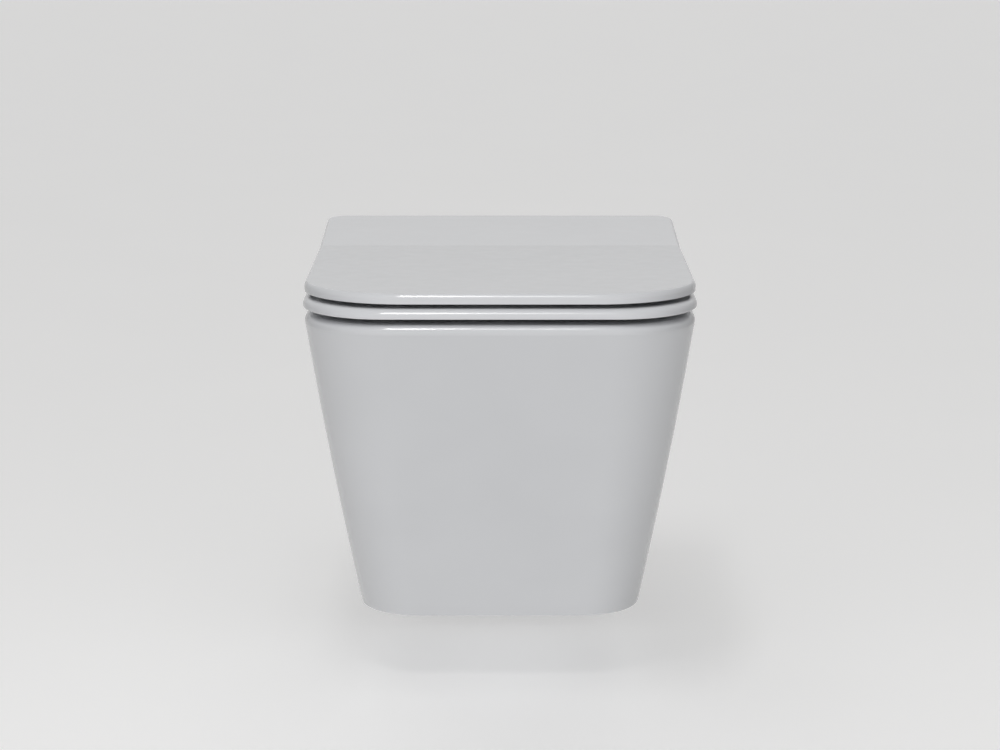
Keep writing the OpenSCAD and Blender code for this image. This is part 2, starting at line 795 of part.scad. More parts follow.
module seat_ring() color(gloss_white) {
    soft = 1.5;
    inner_soft = 5;
    difference() {
        union() {
            band(concat(
                [for (t = [0, 45, 90])
                    at_height(seat_outer(soft * (1 - sin(t))), seat_low + soft * (1 - cos(t)))],
                [for (t = [0, 18, 36, 54, 72, 90])
                    at_height(seat_outer(seat_round * (1 - cos(t))), seat_top - seat_round * (1 - sin(t)))],
                [for (t = [90, 60, 30, 0])
                    at_height(seat_inner(inner_soft * (1 - cos(t))), seat_top - inner_soft * (1 - sin(t)))],
                [for (t = [90, 45, 0])
                    at_height(seat_inner(soft * (1 - sin(t))), seat_low + soft * (1 - cos(t)))]));
            seat_hump();
            at_axis() {
                rod_x(lug_r, -lug_out, -lug_in);
                box([-lug_out, -notch_front + axis_y - over, -web_low], [-lug_in, 0, web_high]);
                rod_x(cradle_r, cradle_in, damper_out);
                box([cradle_in, axis_y - seat_back - 2 * over, -web_low], [damper_out, 0, web_high]);
            }
        }
        both_sides()
            box([hblock_in - notch_gap, -notch_front, seat_low - over],
                [hblock_out + notch_gap, 0, axis_h + 3 * lug_r]);
        at_axis() {
            rod_x(bush_r, -lug_out - over, -lug_in + over);
            rod_x(damper_d / 2, damper_in, damper_out + over);
        }
        // Clear round the lid's damper and its cradle
        at_axis()
            rod_x(cradle_r + cradle_gap, -damper_out - over, -cradle_in + cradle_gap);
    }
}

// Pads between lid and seat and between seat and rim, out of sight behind the front corners
pad_inset = 21.8;
pad_x = seat_w / 2 - pad_inset;
pad_y_rear = 215;
pad_y_front = 400;
pad_len = 26;
pad_w = 11;
module pad(from, to) {
    linear_extrude(height = to - from) {
        for (side = [-1, 1])
            translate([0, side * (pad_len - pad_w) / 2])
                circle(d = pad_w, $fn = smooth);
        square([pad_w, pad_len - pad_w], center = true);
    }
}
module pads(from, to_rear, to_front) {
    both_sides()
        translate([pad_x, 0, from]) {
            translate([0, -pad_y_rear, 0])
                pad(0, to_rear - from);
            translate([0, -pad_y_front, 0])
                pad(0, to_front - from);
        }
}
module seat_bumpers() color(soft_white)
    pads(rim_h + rest_gap, seat_low, seat_low);
module lid_bumpers() color(soft_white)
    pads(seat_top + rest_gap, lid_top(-pad_y_rear - pad_len / 2) - lid_skin,
        lid_top(-pad_y_front - pad_len / 2) - lid_skin);

// Hinges
collar_r = 8;
collar_t = 2;
base_low = rim_h;
base_top = base_low + base_plate_t;
flange_r = 10;
flange_t = 1;
post_top = base_top + 21;
latch_z = base_top + 8;
latch_t = 3.4;
groove_r = post_d / 2 - 1.5;
hblock_low = base_top;
arm_low = axis_h - 7;
arm_top = axis_h + 6.5;
latch_w = 13.6;

module hinge_base() {
    difference() {
        rod_z(base_plate_d / 2, base_low, base_top);
        rod_z(tail_d / 2 + fit_gap, base_low - over, base_top + over);
        rod_z(flange_r + fit_gap, base_low - over, base_low + flange_t + fit_gap);
        // Bevel round the upper edge
        translate([0, 0, base_top - over])
            difference() {
                rod_z(base_plate_d, 0, 2 * over);
                cylinder(r1 = base_plate_d / 2, r2 = base_plate_d / 2 - 2 * over, h = 2 * over, $fn = smooth);
            }
    }
}

module hinge_post() {
    tail_low = rim_h - plug_len - 10;
    difference() {
        union() {
            rod_z(tail_d / 2, tail_low, base_top + over);
            rod_z(collar_r, base_top, base_top + collar_t);
            rod_z(post_d / 2, base_top, post_top - over);
            translate([0, 0, post_top - over])
                cylinder(r1 = post_d / 2, r2 = post_d / 2 - over, h = over, $fn = smooth);
        }
        translate([0, 0, latch_z])
            difference() {
                rod_z(post_d, 0, latch_t + 2 * rest_gap);
                rod_z(groove_r, -over, latch_t + over);
            }
    }
}

module hinge_block() {
    difference() {
        union() {
            translate([0, -axis_y, axis_h])
                rod_x(head_r, -hblock_w / 2, hblock_w / 2);
            box([-hblock_w / 2, -hblock_front, arm_low], [hblock_w / 2, -axis_y, arm_top]);
            box([-hblock_w / 2, -hblock_front, hblock_low], [hblock_w / 2, -hblock_back, arm_top]);
        }
        translate([0, -axis_y, axis_h])
            rod_x(pin_d / 2, -hblock_w, hblock_w);
        translate([0, -hinge_y, 0]) {
            rod_z(post_d / 2 + run_gap, hblock_low - over, post_top + fit_gap);
            rod_z(collar_r + fit_gap, hblock_low - over, base_top + collar_t + fit_gap);
        }
        box([-latch_w / 2 - rest_gap, -latch_front - button_travel - rest_gap, latch_z],
            [latch_w / 2 + rest_gap, -hblock_back + over, latch_z + rest_gap + latch_t + rest_gap]);
        translate([0, 0, latch_z + rest_gap + latch_t / 2])
            rod_y(spring_r + 2 * fit_gap, -latch_front - spring_len, -latch_front);
    }
}

// Latch plate of the quick release: its narrow slot holds the post's groove
latch_front = hinge_y + 7;
key_r = groove_r + rest_gap;
wide_r = post_d / 2 + rest_gap;
button_proud = 2.5;
module release_button() {
    translate([0, 0, latch_z + rest_gap])
        difference() {
            box([-latch_w / 2, -latch_front, 0],
                [latch_w / 2, -hblock_back + button_proud, latch_t]);
            translate([0, -hinge_y, -over])
                rod_z(key_r, 0, latch_t + 2 * over);
            translate([0, button_travel - hinge_y, -over])
                rod_z(wide_r, 0, latch_t + 2 * over);
        }
}

// Helical compression spring, as a tube swept along its turns
spring_r = 1.9;
spring_wire = 0.55;
spring_len = 8.4;
spring_turns = 5;
turn_n = 12;
wire_n = 6;
module button_spring() {
    n = spring_turns * turn_n;
    pitch_room = spring_len - spring_wire * 1.2;
    rings = [for (i = [0 : n])
        let (a = 360 * i / turn_n, y = -latch_front - spring_wire * 0.6 - pitch_room * i / n)
        [for (k = [0 : wire_n - 1])
            let (b = 360 * k / wire_n, r = spring_r - spring_wire / 2 + spring_wire / 2 * cos(b))
            [r * cos(a), y + spring_wire / 2 * sin(b), r * sin(a)]]];
    walls = [for (j = [0 : n - 1], i = [0 : wire_n - 1], s = [0, 1])
        let (a = j * wire_n + i, b = j * wire_n + (i + 1) % wire_n)
        s == 0 ? [a, b, a + wire_n] : [b, b + wire_n, a + wire_n]];
    translate([0, 0, latch_z + rest_gap + latch_t / 2])
        polyhedron(points = [for (r = rings) each r],
            faces = concat([[for (i = [wire_n - 1 : -1 : 0]) i]], walls,
                [[for (i = [0 : wire_n - 1]) n * wire_n + i]]), convexity = 10);
}

module on_side(side) {
    translate([side * hinge_gap / 2, 0, 0])
        children();
}
module hinge_base_left() color(steel) on_side(-1) translate([0, -hinge_y, 0]) hinge_base();
module hinge_base_right() color(steel) on_side(1) translate([0, -hinge_y, 0]) hinge_base();
module hinge_post_left() color(steel) on_side(-1) translate([0, -hinge_y, 0]) hinge_post();
module hinge_post_right() color(steel) on_side(1) translate([0, -hinge_y, 0]) hinge_post();
module hinge_block_left() color(zinc) on_side(-1) hinge_block();
module hinge_block_right() color(zinc) on_side(1) hinge_block();
module release_button_left() color(grey_nylon) on_side(-1) release_button();
module release_button_right() color(grey_nylon) on_side(1) release_button();
module button_spring_left() color(steel) on_side(-1) button_spring();
module button_spring_right() color(steel) on_side(1) button_spring();

// Pins on the hinge axis: from inside the damper to a head beyond the outer lug
pin_in = damper_out - 8;
pin_head = 1.8;
pin_head_d = pin_d + 3.6;
module hinge_pin() {
    at_axis() {
        rod_x(pin_d / 2, pin_in, lug_out + rest_gap + pin_head / 2);
        rod_x(pin_head_d / 2, lug_out + rest_gap, lug_out + rest_gap + pin_head);
    }
}
module hinge_pin_right() color(steel) hinge_pin();
module hinge_pin_left() color(steel) mirror([1, 0, 0]) hinge_pin();

module damper() {
    at_axis()
        difference() {
            rod_x(damper_d / 2, damper_in, damper_out);
            rod_x(pin_d / 2 + run_gap, pin_in - fit_gap, damper_out + over);
        }
}
module seat_damper() color(black_nylon) damper();
module lid_damper() color(black_nylon) mirror([1, 0, 0]) damper();

// Top fixing: a rubber plug in each deck hole, squeezed by a nut under it
nut_low = 7;
plug_nut_d = tail_d + 6;
module expansion_plugs() color(rubber_black) {
    both_sides()
        translate([hinge_gap / 2, -hinge_y, 0])
            difference() {
                union() {
                    rod_z(seat_hole / 2 - fit_gap, rim_h - plug_len, rim_h + flange_t / 2);
                    rod_z(flange_r, rim_h, rim_h + flange_t);
                }
                rod_z(tail_d / 2 + fit_gap, rim_h - plug_len - over, rim_h + flange_t + over);
            }
}
module plug_nuts() color(steel) {
    both_sides()
        translate([hinge_gap / 2, -hinge_y, rim_h - plug_len - nut_low])
            difference() {
                cylinder(d = plug_nut_d, h = nut_low, $fn = hexagon);
                rod_z(tail_d / 2, -over, nut_low + over);
            }
}

pan();
bowl();
trapway();
inlet_tube();
lid();
seat_ring();
lid_bumpers();
seat_bumpers();
hinge_base_left();
hinge_base_right();
hinge_post_left();
hinge_post_right();
expansion_plugs();
plug_nuts();
hinge_block_left();
hinge_block_right();
hinge_pin_left();
hinge_pin_right();
seat_damper();
lid_damper();
seat_bush();
lid_bush();
release_button_left();
release_button_right();
button_spring_left();
button_spring_right();
wall_blocks();
stud_washers();
stud_nuts();
side_screws();
side_bushes();
side_caps();
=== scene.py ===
"""Looks of the wall hung toilet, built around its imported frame.

Sizes here are in millimetres, in the part's own frame, and meshes are made in metres. Angles are
in degrees. The wall is at y = 0, and the front is at negative y. Names that end in _Y, _BACK or
_FRONT are distances out from the wall. Heights count from the wall studs, up for the rim, seat,
lid and inlet, and down for the underside, sump, trap and outlet.
"""

import itertools
import json
import math

import bmesh
import bpy
import numpy as np
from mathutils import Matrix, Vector


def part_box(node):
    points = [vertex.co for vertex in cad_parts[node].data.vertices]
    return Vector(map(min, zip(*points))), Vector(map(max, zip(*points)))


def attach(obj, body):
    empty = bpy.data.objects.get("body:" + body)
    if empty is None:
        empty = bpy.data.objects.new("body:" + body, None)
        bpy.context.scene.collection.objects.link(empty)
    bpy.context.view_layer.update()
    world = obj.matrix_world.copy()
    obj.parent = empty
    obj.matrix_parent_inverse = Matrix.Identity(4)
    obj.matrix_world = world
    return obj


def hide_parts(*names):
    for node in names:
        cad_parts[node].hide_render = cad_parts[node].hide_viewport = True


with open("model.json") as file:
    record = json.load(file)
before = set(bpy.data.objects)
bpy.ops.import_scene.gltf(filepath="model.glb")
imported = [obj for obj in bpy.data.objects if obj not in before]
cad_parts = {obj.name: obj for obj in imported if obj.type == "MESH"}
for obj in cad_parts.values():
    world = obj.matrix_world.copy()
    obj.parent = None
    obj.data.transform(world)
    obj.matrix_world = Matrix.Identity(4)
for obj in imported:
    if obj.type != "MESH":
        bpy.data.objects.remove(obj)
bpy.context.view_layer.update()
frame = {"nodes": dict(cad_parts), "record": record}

MM = 0.001
PAN_LOW, PAN_HIGH = (Vector(corner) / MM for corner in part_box("pan"))
OVER = 1  # how far a cutter or a joined solid runs past a face

# Camera and floor, worked out from the photograph's perspective
CAMERA_AT = Vector((0, -3135.9, 515.4)) * MM
CAMERA_PITCH = 10.2587
LENS, SENSOR = 105.57, 36
FLOOR_Z, FLOOR_REACH = -337.7, 30000

# Light: the sky's level from left to right, and from straight down to straight up, as (place,
# level) on a ramp. Then its levels from the front to behind the wall, and the span they cover
SKY_ACROSS = (0.06, 0), (0.36, 1), (0.57, 1), (0.9, 0)
SKY_UP = (0, 1), (0.4, 1), (0.5, 0.42), (0.6, 0.66), (0.72, 0.88), (1, 0.57)
SKY_DEPTH, SKY_DEPTH_SPAN = (1.32, 1), (-1, 1)
# Strip lights: metres from the seat's front edge, angle of rise, and angle filled from top to
# bottom. Then each one's turn to the right, angle filled from side to side, and radiance
STRIP_FAR, STRIP_RISE, STRIP_TALL = 2.5, 50, 17
STRIPS = {"left_strip": (-7.4, 5.6, 20), "middle_strip": (2.5, 5.5, 5)}
FLOOR_PAINT, FLOOR_GLOW = (0.9, 0.895, 0.89), 0.2
# Backdrop that the camera and reflections see: span of z directions, and the levels at its two ends
BACKDROP_SPAN, BACKDROP = (0.14, 0.32), (0.66, 0.86)

# Pan: outer form. Corners are (across, deep)
RIM_H = PAN_HIGH.z
UNDER_H = -PAN_LOW.z
PAN_W, PAN_D = 363.8, 514
BASE_W, BASE_D = 286.4, 245
RIM_CORNER, BASE_CORNER = (79, 82), (58, 71)
BOW_R, SIDE_BULGE = 20000, 2
CHINA_T, DECK_T = 11, 12
RIM_ROUND, BASE_ROUND = 6, 2.5
OUTER_BACK, INNER_BACK, WALL_CUT = 1, 3, 8  # how far the lofts and their cutter run into the wall

# Pan: bowl. Squareness is an oval's power, in front and behind, where 2 is an ellipse
RIM_SIDE, RIM_FRONT, BOWL_BACK = 35, 38, 170
BOWL_SQUARE = (4.4, 5)
LIP_ROUND, LIP_H = 5, 29
SHELF_W, SHELF_DROP = 11, 11
SUMP_H, SUMP_W, SUMP_FRONT, SUMP_BACK = 150, 80, 275, 184
BOWL_T, FLOOR_T = 10, 6
SIDE_BEND, FRONT_BEND, ROUND_BEND = 1.55, 1.1, 0.7  # how the bowl draws in from shelf to sump

# Pan: trap, water connections and holes
TRAP_BORE, TRAP_T, THROAT_LEDGE = 56, 9, 2
THROAT_Y, DIP_R, DIP_H, WEIR_R, WEIR_H = 211, 46, 157, 50, 95
INLET_H, INLET_BORE, INLET_T, INLET_LEN, FLUSH_BORE = 35, 55, 9, 55, 44
OUTLET_H, OUTLET_D, OUTLET_T, OUTLET_LEN = 100, 102, 8, 42
RECESS, CHAMBER_HALF, CHAMBER_DEEP, CHAMBER_DROP, CHAMBER_RISE = 20, 46, 32, 27, 3
PORT_H, PORT_W = 10, 24
SIDE_Y, SIDE_HOLE = 28, 25
HINGE_GAP, HINGE_Y, SEAT_HOLE = 155, 83, 15

# Seat ring and lid
SEAT_BOTTOM = RIM_H + 6
SEAT_TOP = SEAT_BOTTOM + 9.4
SEAT_W, SEAT_D, SEAT_BACK, SEAT_CORNER = 367.6, 517.4, 66, 24
SEAT_FRONT = (78, 87)
SEAT_ROUND, SEAT_SOFT, SEAT_INNER = 7, 1.5, 5
HOLE_W, HOLE_FRONT, HOLE_BACK, HOLE_SQUARE = 232, 440, 176, (3, 3.6)
LID_W, LID_D, LID_BACK, LID_CORNER = 365.6, 514.8, 32, 20
LID_FRONT = (94, 92)
LID_BOTTOM = SEAT_TOP + 4.2
LID_EDGE, LID_SKIN, LID_LIP, LIP_SOFT, LIP_CORNER = 9.5, 4.5, 5, 0.8, 1
LID_ROUND, LID_BLEND = (3, 4.8), 1.3
CREASE_Y, FRONT_RISE, CREASE_SOFT = 192.6, 0.8, 10
LIP_RUN, LIP_END, BACK_BOW = 42, 2.5, 0.3

# Hinge axis and the lugs on it
AXIS_Y, AXIS_H, AXIS_ROOM = 48, RIM_H + 24, 11.1
BLOCK_IN, BLOCK_OUT, BLOCK_FRONT = 63, 92, 101
LUG_GAP, LUG_W, LUG_R, BUSH_R = 3, 20, 9, 6
WEB_R, WEB_LOW, WEB_HIGH = 7.35, 7.2, 6.3
DAMPER_R, DAMPER_LEN = 8, 49
CRADLE_T, CRADLE_END, ARM_RUN, LID_ROOM = 2.5, 2, 2, 2
HUMP_GAP, HUMP_SIDE, HUMP_IN, HUMP_SLOPE, HUMP_ROUND = 2, 14, 1, 2.2, 2
HUMP_FRONT = HOLE_BACK - 8
NOTCH_GAP, NOTCH_FRONT = 1.5, BLOCK_FRONT + 3

# Shading: the angle at which an edge stays sharp, and the one at which the hump's edges are rounded
SHARP_ANGLE, HUMP_ANGLE = 32, 50

# Counts of steps along the front, a corner, a side and half an oval, and round a rod
FLAT_N, CORNER_N, SIDE_N, OVAL_N, ROUND_N = 14, 26, 18, 96, 96
# Counts of steps round a small fillet, a fillet, and the upper edge of seat and lid
SOFT_N, FILLET_N, EDGE_N = 4, 9, 12
# Counts of steps up the pan: underside's rounding, wall, rim's rounding, and the wall's inner face
FOOT_N, WALL_N, RIM_N, INNER_N = 5, 24, 20, 8
FOOT_END = 75  # where the underside's rounding stops, short of the leaning wall
# Counts of steps along the shelf, the bowl, its outside, the crease, and the hump's front and edge
SHELF_N, BOWL_N, SHELL_N, CREASE_N, HUMP_N, HUMP_ROUND_N = 8, 30, 16, 8, 6, 4


def mix(a, b, t):
    return a + (b - a) * t


def ease(t):
    t = min(1, max(0, t))
    return t * t * (3 - 2 * t)


def steps(first, last, count):
    return [mix(first, last, i / count) for i in range(count + 1)]


def sine(degrees):
    return math.sin(math.radians(degrees))


def cosine(degrees):
    return math.cos(math.radians(degrees))


# Outlines: each is a list of (x, y) of the right half, from the front's middle to the back's middle


def front_part(half, front, corner_x, corner_y):
    x0 = half - corner_x
    flat = [(x, x * x / (2 * BOW_R) - front) for x in steps(0, x0, FLAT_N)[:-1]]
    corner = []
    for t in steps(0, 90, CORNER_N):
        x = x0 + corner_x * sine(t)
        corner.append((x, x * x / (2 * BOW_R) - front + corner_y * (1 - cosine(t))))
    return flat + corner


def back_part(half, back, corner):
    x0 = half - corner
    y0 = -back - corner
    turn = [(x0 + corner * cosine(t), y0 + corner * sine(t)) for t in steps(0, 90, CORNER_N)]
    edge = [(x, -back + BACK_BOW * (1 - (x / x0) ** 2)) for x in steps(x0, 0, FLAT_N)[1:]]
    return turn + edge


def oval_half(half, front, back, square_front, square_back, count=OVAL_N):
    points = []
    for t in steps(0, 180, count):
        c = cosine(t)
        power = 2 / (square_front if t < 90 else square_back)
        x = 0 if t in (0, 180) else half * sine(t) ** power
        reach_y = (front - back) / 2 * abs(c) ** power
        points.append((x, -(front + back) / 2 - math.copysign(reach_y, c)))
    return points


def ring(half_outline, height):
    """Closed ring of points from a right half. height is a number, or a function of y."""
    outline = half_outline + [(-x, y) for x, y in half_outline[-2:0:-1]]
    return np.array([(x, y, height(y) if callable(height) else height) for x, y in outline])


# Mesh building


def new_object(name, points, faces):
    data = bpy.data.meshes.new(name)
    data.from_pydata([tuple(p) for p in np.asarray(points) * MM], [], faces)
    data.validate()
    piece = bpy.data.objects.new(name, data)
    bpy.context.scene.collection.objects.link(piece)
    return piece


def strip_cap(count, start, flip):
    """Faces that close a ring by strips between its mirrored points."""
    half = count // 2
    faces = []
    for i in range(half):
        a, b = i, i + 1
        c, d = (count - i) % count, (count - i - 1) % count
        face = [start + v for v in dict.fromkeys((a, b, d, c))]
        faces.append(face[::-1] if flip else face)
    return faces


def ring_walls(count, rings, closed):
    faces = []
    for j in range(rings if closed else rings - 1):
        for i in range(count):
            k = (i + 1) % count
            low, high = j * count, (j + 1) % rings * count
            faces.append((low + i, low + k, high + k, high + i))
    return faces


def loft(name, rings):
    """Solid through rings stacked from the bottom up."""
    count = len(rings[0])
    faces = ring_walls(count, len(rings), closed=False)
    faces += strip_cap(count, 0, flip=True)
    faces += strip_cap(count, (len(rings) - 1) * count, flip=False)
    return outward(new_object(name, np.concatenate(rings), faces))


def band(name, rings):
    """Solid whose section runs through the rings and back to the first."""
    faces = ring_walls(len(rings[0]), len(rings), closed=True)
    return outward(new_object(name, np.concatenate(rings), faces))


def outward(piece):
    """Turns every face outward."""
    work = bmesh.new()
    work.from_mesh(piece.data)
    bmesh.ops.recalc_face_normals(work, faces=work.faces)
    work.to_mesh(piece.data)
    work.free()
    return piece


def capped(name, rings):
    """Solid through rings that lie flat, with one face at each end."""
    count = len(rings[0])
    last = (len(rings) - 1) * count
    faces = ring_walls(count, len(rings), closed=False)
    faces += [tuple(range(count)), tuple(range(last, last + count))]
    return outward(new_object(name, np.concatenate(rings), faces))


def rod(name, radius, centre, axis, low, high):
    """Cylinder along axis, an index, from low to high. centre gives the other two coordinates."""
    u, v = (axis + 1) % 3, (axis + 2) % 3
    rings = []
    for along in (low, high):
        circle = np.zeros((ROUND_N, 3)) + np.array(centre, float)
        angles = np.arange(ROUND_N) * 2 * math.pi / ROUND_N
        circle[:, axis] = along
        circle[:, u] += radius * np.cos(angles)
        circle[:, v] += radius * np.sin(angles)
        rings.append(circle)
    return capped(name, rings)


def bend_tube(name, radius, bend, centre, start, turn):
    """Stretch of a torus in the plane x = 0. start and turn count from y towards z."""
    turns = steps(0, 360, ROUND_N // 2)[:-1]
    section = [(bend + radius * cosine(t), radius * sine(t)) for t in turns]
    x, y, z = centre
    rings = []
    for angle in steps(start, start + turn, ROUND_N // 2):
        c, s = cosine(angle), sine(angle)
        rings.append(np.array([(x + side, y + far * c, z + far * s) for far, side in section]))
    return capped(name, rings)


def block(name, low, high):
    """Box between two corners."""
    corners = list(itertools.product(*zip(low, high)))
    faces = [(0, 1, 3, 2), (4, 6, 7, 5), (0, 4, 5, 1), (2, 3, 7, 6), (0, 2, 6, 4), (1, 5, 7, 3)]
    return outward(new_object(name, corners, faces))


def bake(piece):
    """Applies the piece's modifiers."""
    view = bpy.context.evaluated_depsgraph_get()
    made = bpy.data.meshes.new_from_object(piece.evaluated_get(view))
    piece.modifiers.clear()
    piece.data = made
    return piece


def bevel(piece, width, segments, angle):
    rounding = piece.modifiers.new("bevel", "BEVEL")
    rounding.width = width * MM
    rounding.segments = segments
    rounding.limit_method = "ANGLE"
    rounding.angle_limit = math.radians(angle)
    return bake(piece)


def combine(piece, other, operation):
    change = piece.modifiers.new("combine", "BOOLEAN")
    change.solver = "MANIFOLD"
    change.operation = operation
    change.object = other
    bake(piece)
    bpy.data.objects.remove(other)
    return piece


def join(piece, *others):
    for other in others:
        combine(piece, other, "UNION")
    return piece


def cut(piece, *others):
    for other in others:
        combine(piece, other, "DIFFERENCE")
    return piece


def finish_surface(piece):
    """Smooth shading that keeps corners and lets large faces stay flat."""
    piece.data.shade_smooth()
    piece.data.set_sharp_from_angle(angle=math.radians(SHARP_ANGLE))
    weighting = piece.modifiers.new("weighting", "WEIGHTED_NORMAL")
    weighting.mode = "FACE_AREA"
    weighting.keep_sharp = True
    return piece


# Pan


def lean(top, foot):
    """Angle from the upright at which a wall runs from the rim's rounding to the underside."""
    run, fall = top - foot, RIM_H - RIM_ROUND + UNDER_H
    return math.degrees(math.atan(run / fall) + math.asin(RIM_ROUND / math.hypot(run, fall)))


# Centre of the rim's rounding, and the lean of the sides and of the front
SIDE_C, FRONT_C, RIM_ZC = PAN_W / 2 - RIM_ROUND, PAN_D - RIM_ROUND, RIM_H - RIM_ROUND
SIDE_LEAN, FRONT_LEAN = lean(SIDE_C, BASE_W / 2), lean(FRONT_C, BASE_D)


def straight(z, centre, angle):
    """Distance out to a leaning wall at height z."""
    drop = RIM_ZC - RIM_ROUND * sine(angle) - z
    return centre + RIM_ROUND * cosine(angle) - drop * math.tan(math.radians(angle))


def reach(z, centre, angle):
    """Distance out to the wall or, near the rim, to its rounding."""
    if z > RIM_ZC - RIM_ROUND * sine(angle):
        return centre + math.sqrt(max(0, RIM_ROUND**2 - (z - RIM_ZC) ** 2))
    return straight(z, centre, angle)


def pan_ring(z, side, front, side_in, front_in, back):
    """Outline of the pan at height z, moved in from its sides and front."""
    share = (z + UNDER_H) / (RIM_H + UNDER_H)
    half = side - side_in + 4 * SIDE_BULGE * share * (1 - share)
    curve = front_part(
        half,
        front - front_in,
        mix(BASE_CORNER[0], RIM_CORNER[0], share) - side_in,
        mix(BASE_CORNER[1], RIM_CORNER[1], share) - front_in,
    )
    side_edge = [(half, y) for y in steps(curve[-1][1], back, SIDE_N)[1:]]
    back_edge = [(x, back) for x in steps(half, 0, FLAT_N)[1:]]
    return ring(curve + side_edge + back_edge, z)


def outer_ring(z, inset=0):
    out = reach(z, SIDE_C, SIDE_LEAN), reach(z, FRONT_C, FRONT_LEAN)
    return pan_ring(z, *out, inset, inset, OUTER_BACK)


def inner_ring(z):
    out = straight(z, SIDE_C, SIDE_LEAN), straight(z, FRONT_C, FRONT_LEAN)
    thick = CHINA_T / cosine(SIDE_LEAN), CHINA_T / cosine(FRONT_LEAN)
    return pan_ring(z, *out, *thick, INNER_BACK)


SHELF_FOOT = RIM_H - LIP_H - SHELF_DROP
OPENING_HALF, OPENING_FRONT = PAN_W / 2 - RIM_SIDE, PAN_D - RIM_FRONT
THROAT_HALF = TRAP_BORE / 2 + THROAT_LEDGE


def bowl_ring(share, grow, lower=0):
    """Bowl between the shelf (share 0) and the sump (1), grown and lowered for its outside."""
    front_top = OPENING_FRONT - SHELF_W - SHELF_DROP * math.tan(math.radians(FRONT_LEAN))
    roundness = share**ROUND_BEND
    outline = oval_half(
        mix(OPENING_HALF - SHELF_W, SUMP_W / 2, share**SIDE_BEND) + grow,
        mix(front_top, SUMP_FRONT, share**FRONT_BEND) + grow,
        mix(BOWL_BACK + SHELF_W, SUMP_BACK, share) - grow,
        mix(BOWL_SQUARE[0], 2, roundness),
        mix(BOWL_SQUARE[1], 2, roundness),
    )
    return ring(outline, mix(SHELF_FOOT, -SUMP_H, share) - lower)


def lip_ring(z, grow):
    outline = oval_half(OPENING_HALF + grow, OPENING_FRONT + grow, BOWL_BACK - grow, *BOWL_SQUARE)
    return ring(outline, z)


def throat_ring(z, grow):
    half = THROAT_HALF + grow
    return ring(oval_half(half, THROAT_Y + half, THROAT_Y - half, 2, 2), z)


def bowl_inside():
    rings = [throat_ring(-SUMP_H - FLOOR_T / 2, 0)]
    rings += [bowl_ring(share, 0) for share in steps(1, 0, BOWL_N)]
    for s in steps(0, 1, SHELF_N)[1:]:
        rings.append(lip_ring(SHELF_FOOT + SHELF_DROP * s, -SHELF_W * (1 - s) ** 2))
    for t in steps(90, 0, FILLET_N):
        rings.append(lip_ring(RIM_H - LIP_ROUND * (1 - cosine(t)), LIP_ROUND * (1 - sine(t))))
    rings.append(lip_ring(RIM_H + OVER, LIP_ROUND))
    return loft("bowl_inside", rings)


def bowl_outside():
    rings = [throat_ring(-DIP_H, TRAP_T - THROAT_LEDGE)]
    rings += [bowl_ring(share, BOWL_T, FLOOR_T) for share in steps(1, 0, SHELL_N)]
    rings += [lip_ring(RIM_H - LIP_H, BOWL_T), lip_ring(RIM_H - DECK_T / 2, BOWL_T)]
    return loft("bowl_outside", rings)


def trapway(radius):
    """The bends and straight stretches of the trapway, as closed solids."""
    up_y = THROAT_Y - 2 * DIP_R
    weir_z = -WEIR_H - WEIR_R
    out_end = -RECESS - OUTLET_LEN + OVER
    return [
        rod("down_leg", radius, (0, -THROAT_Y, 0), 2, -DIP_H - OVER, -SUMP_H + OVER),
        bend_tube("dip", radius, DIP_R, (0, DIP_R - THROAT_Y, -DIP_H), 180, 180),
        rod("up_leg", radius, (0, -up_y, 0), 2, -DIP_H - OVER, weir_z + OVER),
        bend_tube("weir", radius, WEIR_R, (0, WEIR_R - up_y, weir_z), 90, 90),
        rod("way_out", radius, (0, 0, -WEIR_H), 1, WEIR_R - up_y - OVER, out_end),
    ]


def walls():
    """The china's outer walls, underside, rim and deck, hollow from behind."""
    wall_top = RIM_ZC - RIM_ROUND * sine(FRONT_LEAN)
    rings = []
    for t in steps(0, FOOT_END, FOOT_N):
        rings.append(outer_ring(BASE_ROUND * (1 - cosine(t)) - UNDER_H, BASE_ROUND * (1 - sine(t))))
    rings += [outer_ring(z) for z in steps(BASE_ROUND - UNDER_H, wall_top, WALL_N)]
    rings += [outer_ring(RIM_ZC + RIM_ROUND * sine(t)) for t in steps(-FRONT_LEAN, 90, RIM_N)[1:]]
    pan = loft("pan_china", rings)
    hollow = [inner_ring(z) for z in steps(DECK_T - UNDER_H, RIM_H - DECK_T, INNER_N)]
    return cut(pan, loft("hollow", hollow))


